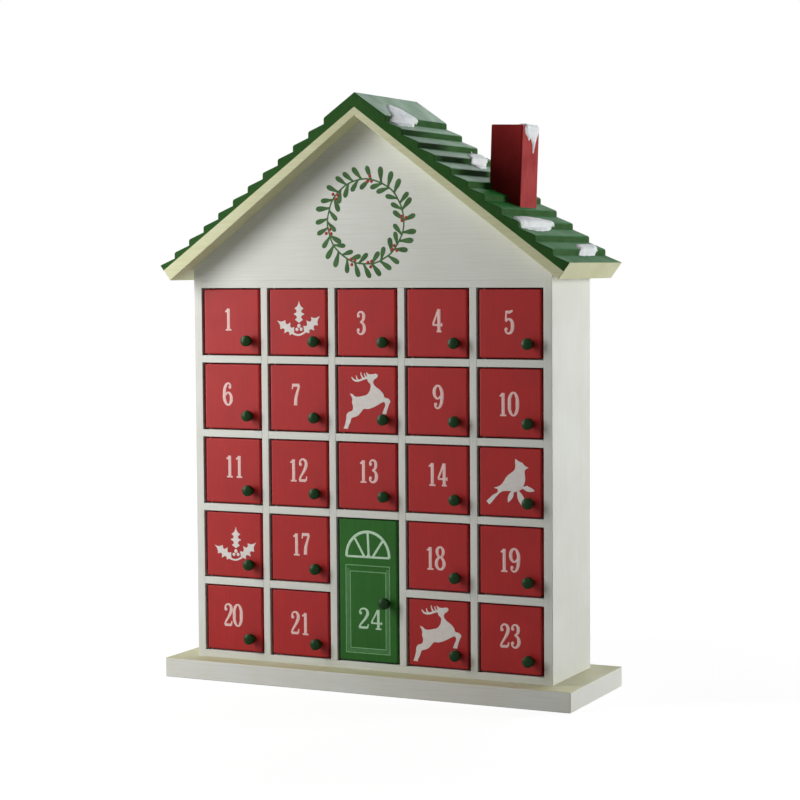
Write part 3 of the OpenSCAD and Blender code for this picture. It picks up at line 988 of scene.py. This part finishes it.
birdBody = [
    (3.2, 15.6, 0), (5.8, 13.9), (8.2, 12.9), (9.9, 11.3), (12.5, 9.9, 0), (10.2, 8.5), (9.8, 6.6),
    (10.2, 3.4), (9.8, 0.2), (8.4, -2.8), (6, -4.9), (2, -5.6), (-2.5, -5.7), (-6.2, -6.2),
    (-10.4, -9.8), (-13.6, -13.6), (-15.2, -15, 0), (-17.2, -12.8, 0), (-13, -9),
    (-9, -5.5), (-11.8, -3.9, 0), (-7.6, -2.3), (-5, 0.4), (-3, 3.6), (0.2, 6.2), (2.6, 8.3),
    (3.3, 10.8), (3.1, 13.2),
]
birdLeaves = [((4.6, -4.6), (9.6, -16)), ((2, -4.6), (-2, -13.2)), ((7.6, -3), (16.8, -5))]
birdTwig = [("curve", (0.5, -6.2, 0.5), (5, -5, 0.6), (9, -3, 0.5), (12, -2, 0.3))]
hollyLeaves = [((0.7, -0.4), (0.8, 14.6)), ((-3, -7.2), (-16.4, 1.2)), ((4.6, -6.4), (16.8, 4.4))]
hollyBerries = [("dot", (0.7, -2.4, 1.35)), ("dot", (-0.9, -4.8, 1.2)), ("dot", (2.4, -4.7, 1.2)),
                ("curve", (-4.4, -7.6, 0.7), (0.4, -8.6, 0.6), (5.4, -6.6, 0.7))]

motifs = {
    2: ("holly", (0, 0)), 16: ("holly", (0.5, -2)), 8: ("deer", (0, 0)), 22: ("deer", (-1, 0.5)),
    15: ("bird", (0, 0)),
}
drawings = {
    "holly": ([turnedTo(hollyLeaf, a, b) for a, b in hollyLeaves], hollyBerries),
    "deer": ([deerBody], deerAntlers),
    "bird": ([birdBody] + [turnedTo(plainLeaf, a, b) for a, b in birdLeaves], birdTwig),
}
for day, (kind, at) in motifs.items():
    shapes, strokes = drawings[kind]
    parts = []
    for i, shape in enumerate(shapes):    # each a little thicker, where one lies on another
        drawn = shapeMesh(shape, 1 + figures["layer"] * i)
        parts.append(printed(drawn, doorMiddle(day), figures["proud"], at))
    parts.append(printed(strokeMesh(strokes), doorMiddle(day), figures["strokeProud"], at))
    addPiece(joined(parts), f"{kind}Print{day:02d}", [figureWhite], **onDoor(day))

# The tall door: a fanlight over two fine panel lines with a paler band between them.
# Strokes that cross differ a little in width, so that they don't lie at one height; flatten is
# how far a stroke's radius is pressed down.
fan = {
    "middleX": -0.45, "baseZ": 90.35, "reachX": 16.1, "reachZ": 17.05, "arch": 0.95, "sill": 0.72,
    "spoke": 0.8, "hub": (0.2, 91.1, 1.4), "flatten": 0.12,
    "spokes": ((-2.9, 129), (0.3, 90), (3.1, 44)),    # foot on the sill, place along the arch
}
panelLines = {
    "line": 0.42, "outer": (-17.05, 24.9, 15.7, 84.45), "inner": (-13.75, 28.1, 12.9, 80.3),
    "band": 1.3, "flatten": 0.25, "bandFlatten": 0.04,
}


def fanPoint(angle, stroke):
    turn = math.radians(angle)
    return (fan["middleX"] + fan["reachX"] * math.cos(turn),
            fan["baseZ"] + fan["reachZ"] * math.sin(turn), fan[stroke])


def boxPoints(box, r):    # a frame's corners, from the upper left one round by the foot
    lowX, lowZ, highX, highZ = box
    return [(lowX, highZ, r), (lowX, lowZ, r), (highX, lowZ, r), (highX, highZ, r)]


fanStrokes = [("curve", *[fanPoint(angle, "arch") for angle in range(0, 181, 15)]),
              ("line", fanPoint(180, "sill"), fanPoint(0, "sill")), ("dot", fan["hub"])]
for footX, angle in fan["spokes"]:
    fanStrokes.append(("line", (footX, fan["baseZ"], fan["spoke"]), fanPoint(angle, "spoke")))
frames = [("frame", *boxPoints(panelLines[box], panelLines["line"])) for box in ("outer", "inner")]
between = [(a + b) / 2 for a, b in zip(panelLines["outer"], panelLines["inner"])]
band = [("line", *boxPoints(between, panelLines["band"]))]
for name, strokes, flatten, film in (
        ("fanlightPrint", fanStrokes, fan["flatten"], fanWhite),
        ("panelLinePrint", frames, panelLines["flatten"], panelInk),
        ("panelBandPrint", band, panelLines["bandFlatten"], bandInk)):
    drawn = printed(strokeMesh(strokes), (0, doors["faceY"], 0), flatten)
    addPiece(drawn, name, [film], **onDoor(house["lastDay"]))

# The wreath on the gable: a ring of stem with club-shaped leaves on both sides and red berries.
# The leaves' thicknesses rise by a step, so that no two that overlap lie at one height.
wreath = {
    "middle": (0, -33.5, 315.6), "stemR": 28.3, "stem": 0.55, "stemFlatten": 0.22, "wobble": 0.3,
    "rows": ((1, 27, 9.9, 62), (-1, 22, 9.4, 50)),    # side, leaves, length, lean from the stem
    "stagger": 0.16, "sway": 9, "growth": (0.92, 1.08),    # how far the leaves differ
    "coat": (0.6, 0.01), "flatten": 0.1,
    "berryR": 1.2, "berryFlatten": 0.17, "berries": (83, 4, -40, -83, -110, -166, 142),
    "threes": ((-3.2, -1.1), (2.8, -1.5), (0.2, 2)),    # degrees along, out from the stem
}
clubHalf = [(0.08, 0.1), (0.1, 0.26), (0.145, 0.44), (0.175, 0.64), (0.165, 0.84), (0.09, 0.965)]
clubLeaf = [(0.07, 0), *clubHalf, (0, 1), *[(-x, y) for x, y in clubHalf[::-1]], (-0.07, 0)]
draw = random.Random(24)


def spread(most):
    return draw.uniform(-most, most)


leaves = []
for out, count, length, lean in wreath["rows"]:
    for i in range(count):
        angle = 2 * math.pi * (i + spread(wreath["stagger"])) / count
        radial = Vector((math.cos(angle), math.sin(angle)))
        tangent = Vector((-math.sin(angle), math.cos(angle)))
        turn = math.radians(lean + spread(wreath["sway"]))
        heading = tangent * math.cos(turn) + radial * out * math.sin(turn)
        foot = radial * wreath["stemR"]
        tip = foot + heading * length * draw.uniform(*wreath["growth"])
        thickness = wreath["coat"][0] + wreath["coat"][1] * len(leaves)
        leaves.append(shapeMesh(turnedTo(clubLeaf, foot, tip), thickness))
stemRing = []
for angle in range(0, 360, 15):
    a = math.radians(angle)
    stemRing.append((wreath["stemR"] * math.cos(a) + spread(wreath["wobble"]),
                     wreath["stemR"] * math.sin(a) + spread(wreath["wobble"]), wreath["stem"]))
stem = strokeMesh([("loop", *stemRing)])
green = [printed(joined(leaves), wreath["middle"], wreath["flatten"]),
         printed(stem, wreath["middle"], wreath["stemFlatten"])]
addPiece(joined(green), "wreathPrint", [wreathGreen])
dots = []
for angle in wreath["berries"]:
    for turn, out in wreath["threes"]:
        a = math.radians(angle + turn)
        r = wreath["stemR"] + out
        dots.append(("dot", (r * math.cos(a), r * math.sin(a), wreath["berryR"])))
berries = printed(strokeMesh(dots), wreath["middle"], wreath["berryFlatten"])
addPiece(berries, "berryPrint", [berryRed])
print("figures and motifs made")


# Lights and floor, in metres and watts. The world gives the fill light; "glow" is how bright the
# floor looks to the camera near the object and far from it, and glowShare how much of it glows.
stage = {
    "floor": 6, "fill": 0.03, "tones": ("#CACAC9", "#C6C6C5"), "mottle": 3, "near": 0.25,
    "far": 1.2, "glow": (1.28, 1.5), "glowShare": 0.7,
}


def lamp(name, place, aim, size, watts, colour="#FFFFFF"):
    light = bpy.data.lights.new(name, "AREA")
    light.shape = "RECTANGLE"
    light.size, light.size_y = size
    light.energy = watts
    light.color = linear(colour)[:3]
    thing = linked(light, name)
    thing.location = place
    thing.visible_camera = False
    thing.rotation_euler = (Vector(aim) - Vector(place)).to_track_quat("-Z", "Y").to_euler()


lamp("keyLight", (-0.57, -0.39, 0.42), (-0.05, 0, 0.2), (0.15, 0.62), 5.4)
lamp("sideLight", (1.24, 0.94, 0.35), (0, 0, 0.2), (0.5, 0.6), 17.2)
lamp("backLight", (0.1, 1.35, 1.25), (0, 0, 0.3), (1, 0.9), 10.5, "#F4F8FF")


def whiteSeen(tree):    # 1 for rays that look at the surroundings, 0 for light on the object
    path = addNode(tree, "LightPath").outputs
    seen = path["Is Camera Ray"]
    for other in (path["Is Glossy Ray"], path["Is Transmission Ray"]):
        seen = addNode(tree, "Math", {0: seen, 1: other}, operation="MAXIMUM").outputs[0]
    return seen


world = bpy.data.worlds.new("studio")
scene.world = world
world.use_nodes = True
worldTree = world.node_tree
worldTree.nodes.clear()
level = addNode(worldTree, "MapRange", {
    "Value": whiteSeen(worldTree), "To Min": stage["fill"], "To Max": 1})
sky = addNode(worldTree, "Background", {
    "Color": linear("#FFFFFF"), "Strength": level.outputs[0]})
addNode(worldTree, "OutputWorld", {"Surface": sky.outputs[0]})

floorPaint, floorTree = newMaterial("matt_white_floor")
floorPlace = addNode(floorTree, "TexCoord").outputs["Object"]
mottle = addNode(floorTree, "TexNoise", {
    "Vector": floorPlace, "Scale": stage["mottle"], "Detail": 2})
light, dark = [linear(colour) for colour in stage["tones"]]
tone = addNode(floorTree, "Mix", {0: mottle.outputs[0], 6: light, 7: dark}, data_type="RGBA")
matt = addNode(floorTree, "BsdfDiffuse", {"Color": tone.outputs[2]})
# paler with distance, so that the floor meets the white surroundings with no line
away = addNode(floorTree, "VectorMath", {0: floorPlace}, operation="LENGTH").outputs["Value"]
paler = addNode(floorTree, "MapRange", {
    "Value": away, "From Min": stage["near"], "From Max": stage["far"],
    "To Min": stage["glow"][0], "To Max": stage["glow"][1]})
glow = addNode(floorTree, "Emission", {"Color": linear("#FFFFFF"), "Strength": paler.outputs[0]})
share = addNode(floorTree, "MapRange", {
    "Value": whiteSeen(floorTree), "To Min": 0, "To Max": stage["glowShare"]})
finish(floorTree, addNode(floorTree, "MixShader", {
    0: share.outputs[0], 1: matt.outputs[0], 2: glow.outputs[0]}))
floorMesh = bmesh.new()
bmesh.ops.create_grid(floorMesh, x_segments=1, y_segments=1, size=stage["floor"])
floor = linked(toMesh(floorMesh, "floor"), "floor")
floor.data.materials.append(floorPaint)

# The photo's camera, solved from its doors' corners: metres, degrees, and the lens in millimetres
view = {"place": (0.630823, -1.29115, 0.286435), "turn": (86.33589, 0.37515, 25.70069),
        "lens": 94.6966, "reach": 50}
camera = linked(bpy.data.cameras.new("camera"), "camera")
camera.data.lens = view["lens"]
camera.data.clip_end = view["reach"]
camera.location = view["place"]
camera.rotation_euler = [math.radians(angle) for angle in view["turn"]]
scene.camera = camera
scene.view_settings.view_transform = "Standard"
print("stage made")
